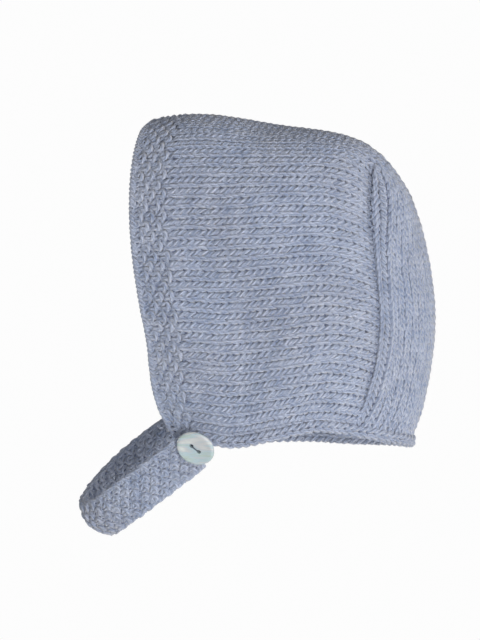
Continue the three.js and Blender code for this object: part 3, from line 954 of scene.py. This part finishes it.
def strap_edges():
    """Two strands wound along each edge of the strap."""
    made = []
    t = np.linspace(0, 1, STRAP_ROWS * EDGING["steps"] + 1)
    for side in (0.0, 1.0):
        for phase in (0, math.pi):
            turn = 2 * np.pi * STRAP_ROWS * t + phase
            u = EDGING["start"] + (1 - 2 * EDGING["start"]) * t
            v = side + (EDGING["inward"] - EDGING["reach"] * np.cos(turn)) * (1 - 2 * side)
            points = STRAP.at(u, v, EDGING["lift"] * np.sin(turn))
            made.append((points, np.full(len(t), EDGING["tone"]), np.ones(len(t))))
    return made


edging = strands("knit_strap_edges", strap_edges(), WOOL_PAINTED_LIGHTER, STRAP_EDGE_YARN)
strap = strands("knit_chin_strap", strap_path(), WOOL_PAINTED_LIGHTER, STRAP_YARN)
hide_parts("chin_strap")
strap_wall = wall("knit_strap_inner", STRAP, *STRAP_GRID, STRAP_WALL)

# Button

BUTTON = dict(radius=8.6, thickness=1.9, hole=0.95, spacing=4.2)
BUTTON_AT = dict(x=-39.6, z=-140.7, lean=38, towards=242, off=3.1)
STRAP_HALF = 2.2
# the thread's coil: its first radius, its turns, what each adds, and how far behind the button it lies
# the coil's dark thread is partly a real shank and partly painted shade seen through the button's holes
COIL_START, COIL_TURNS, COIL_PITCH, COIL_DEPTH = 0.4, 9, 0.3, 0.4
THREAD_RADIUS = 0.15


def button_matrix():
    """Where the button sits: it leans down with the strap's end, its holes across the strap."""
    end = STRAP.at(np.array([1.0]), np.array([0.5]), np.array([STRAP_HALF]))[0]
    towards, lean = math.radians(BUTTON_AT["towards"]), math.radians(BUTTON_AT["lean"])
    sideways = math.sin(lean)
    normal = Vector((math.cos(towards) * sideways, -math.cos(lean), math.sin(towards) * sideways))
    holes = Vector((1, 0, -1))
    holes = (holes - normal * holes.dot(normal)).normalized()
    third = normal.cross(holes)
    turn = Matrix((holes, third, normal)).transposed().to_4x4()
    place = Vector((BUTTON_AT["x"], end[1] - BUTTON_AT["off"], BUTTON_AT["z"])) * MM
    return Matrix.Translation(place) @ turn


def button():
    """A turned disc with a rounded edge, a raised rim and two holes."""
    r, t = BUTTON["radius"], BUTTON["thickness"]
    # radius and height of its outline, from the middle of the back to the middle of the front
    profile = [(0, 0.25), (r * 0.55, 0.1), (r - 1.1, 0.0), (r - 0.55, 0.12), (r - 0.16, 0.42)]
    profile += [(r, 0.82), (r - 0.02, 1.15), (r - 0.2, t - 0.38), (r - 0.55, t - 0.12), (r - 1.05, t)]
    profile += [(r - 1.6, t - 0.02), (r - 2.4, t - 0.14), (r - 3.3, t - 0.32), (r - 4.5, t - 0.46)]
    profile += [(0, t - 0.5)]
    bm = bmesh.new()
    count, rings = 96, []
    for radius, height in profile:
        angles = [2 * math.pi * k / count for k in range(count if radius else 1)]
        ring = [(radius * MM * math.cos(a), radius * MM * math.sin(a), height * MM) for a in angles]
        rings.append([bm.verts.new(place) for place in ring])
    for low, high in zip(rings, rings[1:]):
        for k in range(count):
            n = (k + 1) % count
            if len(low) == 1:
                bm.faces.new((low[0], high[n], high[k]))
            elif len(high) == 1:
                bm.faces.new((low[k], low[n], high[0]))
            else:
                bm.faces.new((low[k], low[n], high[n], high[k]))
    mesh = bpy.data.meshes.new("button_shell")
    bm.to_mesh(mesh)
    bm.free()
    welded(mesh)
    mesh.materials.append(PEARL)
    piece = put("button_shell", mesh)
    for side in (-1, 1):
        bpy.ops.mesh.primitive_cylinder_add(vertices=32, radius=BUTTON["hole"] * MM, depth=0.01)
        cutter = bpy.context.object
        cutter.data.transform(Matrix.Translation((side * BUTTON["spacing"] / 2 * MM, 0, 0)))
        cut = piece.modifiers.new("hole", "BOOLEAN")
        cut.operation, cut.object, cut.solver = "DIFFERENCE", cutter, "EXACT"
        made = finished(piece)
        piece.modifiers.clear()
        piece.data = made
        bpy.data.objects.remove(cutter)
    welded(piece.data)
    piece.data.shade_smooth()
    piece.data.set_sharp_from_angle(angle=math.radians(40))
    piece.data.transform(button_matrix())
    piece.data.name = "button_shell"
    return piece


shell = button()
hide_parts("button")


def button_thread():
    """Two turns of sewing thread through the two holes, and a flat coil of it under the button; the dark
    coil is partly the thread's shank and partly painted shade seen through the holes.
    """
    matrix = button_matrix()
    half, top = BUTTON["spacing"] / 2 - 0.5, BUTTON["thickness"] - 0.3
    way = [(-half, -2.6), (-half, 0.4), (-half, top - 0.35), (-half + 0.22, top - 0.05), (-half + 0.8, top)]
    way += [(-x, z) for x, z in reversed(way)]
    made = []
    for dy in (-0.16, 0.16):
        route = np.array([(x, dy, z) for x, z in way])
        knots = path_length(route)
        s = np.linspace(0, knots[-1], 60)
        made.append(np.stack([hermite(knots, route[:, a], s) for a in range(3)], -1))
    turns = np.linspace(0, COIL_TURNS, COIL_TURNS * 20)
    reach, angle = COIL_START + turns * COIL_PITCH, 2 * np.pi * turns
    flat = np.full(len(turns), -COIL_DEPTH)
    made.append(np.stack([reach * np.cos(angle), reach * np.sin(angle), flat], -1))
    for k, points in enumerate(made):
        points = np.array([tuple((matrix @ Vector(p * MM)) / MM) for p in points])
        made[k] = (points, np.zeros(len(points)), np.ones(len(points)))
    return strands("button_sewing", made, THREAD, THREAD_RADIUS, 8)


thread = button_thread()
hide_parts("button_thread")

# Floor, light and camera

FLOOR = -1.3
# how bright the backdrop looks, and how much it lights the bonnet
WHITE, AMBIENT = 0.98, 0.35


def stage():
    """A wide pale floor, which the camera sees in the tone of the backdrop."""
    mesh = bpy.data.meshes.new("floor")
    bm = bmesh.new()
    bmesh.ops.create_circle(bm, cap_ends=True, radius=14, segments=96)
    bm.to_mesh(mesh)
    bm.free()
    mesh.transform(Matrix.Translation((0, 0, FLOOR)))
    material, tree, shader = blank("floor")
    set_inputs(shader, {"Base Color": (0.93, 0.93, 0.93, 1), "Roughness": 0.9, "Specular IOR Level": 0.1})
    glow = tree.nodes.new("ShaderNodeEmission")
    set_inputs(glow, {"Strength": WHITE})
    rays = tree.nodes.new("ShaderNodeLightPath")
    seen = tree.nodes.new("ShaderNodeMixShader")
    tree.links.new(rays.outputs["Is Camera Ray"], seen.inputs["Fac"])
    tree.links.new(shader.outputs["BSDF"], seen.inputs[1])
    tree.links.new(glow.outputs["Emission"], seen.inputs[2])
    tree.links.new(seen.outputs["Shader"], tree.nodes["Material Output"].inputs["Surface"])
    mesh.materials.append(material)
    in_scene("floor", mesh)


stage()
CENTRE = Vector((-0.02025, 0.0, -0.0846))


def softbox(name, place, size, power, colour=(1, 1, 1)):
    """A round soft lamp that faces the middle of the picture."""
    data = bpy.data.lights.new(name, "AREA")
    data.shape, data.size, data.energy, data.color = "DISK", size, power, colour
    lamp = in_scene(name, data)
    lamp.location = place
    lamp.rotation_euler = (CENTRE - Vector(place)).to_track_quat("-Z", "Y").to_euler()
    lamp.visible_camera = False


softbox("key", (0.55, -2.4, -0.45), 0.6, 36)
softbox("side", (2.3, -0.9, -0.05), 0.9, 20)
softbox("fill", (-1.6, -1.9, 0.5), 1.6, 5)
softbox("above", (0.4, 0.4, 2.2), 2.0, 2, (1.0, 0.9, 0.76))
softbox("behind", (-0.7, 2.3, 0.1), 1.2, 24)

world = bpy.data.worlds.new("studio")
world.use_nodes = True
bpy.context.scene.world = world
tree = world.node_tree
ground = tree.nodes["Background"]
set_inputs(ground, {"Color": (1, 1, 1, 1)})
rays = tree.nodes.new("ShaderNodeLightPath")
level = math_node(tree, "MULTIPLY_ADD", rays.outputs["Is Camera Ray"], WHITE - AMBIENT, AMBIENT)
tree.links.new(level, ground.inputs["Strength"])

view = bpy.context.scene.view_settings
view.view_transform = "Standard"
view.look = "None"
view.exposure, view.gamma = 0.0, 1.0

DISTANCE, PICTURE_HEIGHT, SENSOR = 2.4, 0.288, 36
camera_data = bpy.data.cameras.new("camera")
camera_data.sensor_width = SENSOR
camera_data.sensor_fit = "AUTO"
camera_data.lens = SENSOR * DISTANCE / PICTURE_HEIGHT
camera_data.clip_end = 60
camera = in_scene("camera", camera_data)
camera.location = CENTRE + Vector((0, -DISTANCE, 0))
camera.rotation_euler = (math.radians(90), 0, 0)
bpy.context.scene.camera = camera
